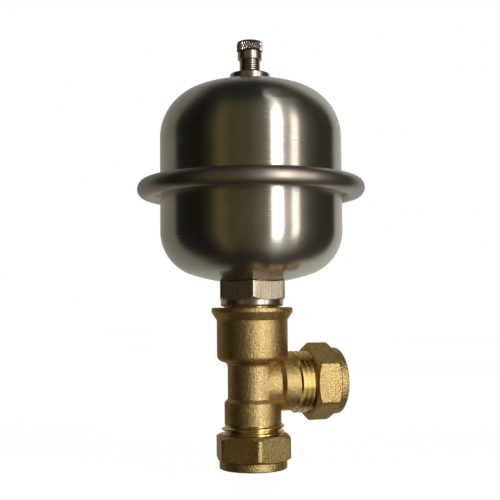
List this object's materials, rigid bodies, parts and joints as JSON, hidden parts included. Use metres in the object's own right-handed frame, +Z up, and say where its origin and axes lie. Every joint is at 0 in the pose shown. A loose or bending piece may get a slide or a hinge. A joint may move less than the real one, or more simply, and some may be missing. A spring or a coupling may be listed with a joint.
{
  "type": "water hammer arrestor",
  "caption": "Stainless diaphragm vessel with a capped charging valve, screwed into a forged brass tee with compression ends, that damps pressure surges in a water pipe.",
  "frame": {"origin": "on the vessel's axis, at the pipe stop inside the run end", "axes": "+Z up the vessel's axis towards the charging valve, +X out of the branch end"},
  "size_m": [0.0844, 0.0844, 0.1588],
  "materials": {
    "brushed_stainless": "drawn stainless sheet with fine circumferential brushing",
    "satin_stainless": "rolled stainless strip, satin",
    "machined_steel": "turned and milled, bright",
    "nickel_plate": "bright nickel plate",
    "forged_brass": "hot forged and shot blasted, threads and faces machined",
    "turned_brass": "turned, bright",
    "spring_steel": "drawn wire",
    "black_rubber": "moulded, matte",
    "white_plastic": "skived film and moulded ring, waxy"
  },
  "bodies": {
    "vessel_and_tee": {"tee_body": "forged_brass", "lower_shell": "brushed_stainless", "upper_shell": "brushed_stainless", "seam_ring": "satin_stainless", "diaphragm": "black_rubber", "connection_boss": "machined_steel", "thread_tape": "white_plastic", "valve_stem": "nickel_plate", "core_barrel": "turned_brass", "core_gasket": "white_plastic", "pin_spring": "spring_steel"},
    "core_pin": {"valve_pin": "turned_brass", "seal_cup": "turned_brass", "pin_seal": "black_rubber"},
    "cap_disc": {"cap_seal": "black_rubber"},
    "cap": {"valve_cap": "nickel_plate"},
    "run_ring": {"run_olive": "turned_brass"},
    "run_nut_body": {"run_nut": "forged_brass"},
    "branch_ring": {"branch_olive": "turned_brass"},
    "branch_nut_body": {"branch_nut": "forged_brass"}
  },
  "joints": [
    {"name": "run_travel", "type": "slide", "parent": "vessel_and_tee", "child": "run_ring", "axis": [0, 0, -1], "range_m": [0, 0.006]},
    {"name": "run_nut_turn", "type": "hinge", "parent": "run_ring", "child": "run_nut_body", "pos_m": [0, 0, 0], "axis": [0, 0, -1], "range_deg": [0, 1080]},
    {"name": "branch_travel", "type": "slide", "parent": "vessel_and_tee", "child": "branch_ring", "axis": [1, 0, 0], "range_m": [0, 0.006]},
    {"name": "branch_nut_turn", "type": "hinge", "parent": "branch_ring", "child": "branch_nut_body", "pos_m": [0.017, 0, 0.0142], "axis": [1, 0, 0], "range_deg": [0, 1080]},
    {"name": "cap_travel", "type": "slide", "parent": "vessel_and_tee", "child": "cap_disc", "axis": [0, 0, 1], "range_m": [0, 0.00397]},
    {"name": "cap_turn", "type": "hinge", "parent": "cap_disc", "child": "cap", "pos_m": [0, 0, 0.13], "axis": [0, 0, 1], "range_deg": [0, 1800]},
    {"name": "pin_press", "type": "slide", "parent": "vessel_and_tee", "child": "core_pin", "axis": [0, 0, -1], "range_m": [0, 0.0015], "stiffness_N_per_m": 500, "springref_m": -0.002, "deforming": ["pin_spring"]}
  ],
  "couplings": [
    {"joint": "run_travel", "follows": "run_nut_turn", "m_per_rad": 0.0003183},
    {"joint": "branch_travel", "follows": "branch_nut_turn", "m_per_rad": 0.0003183},
    {"joint": "cap_travel", "follows": "cap_turn", "m_per_rad": 0.00012636}
  ]
}
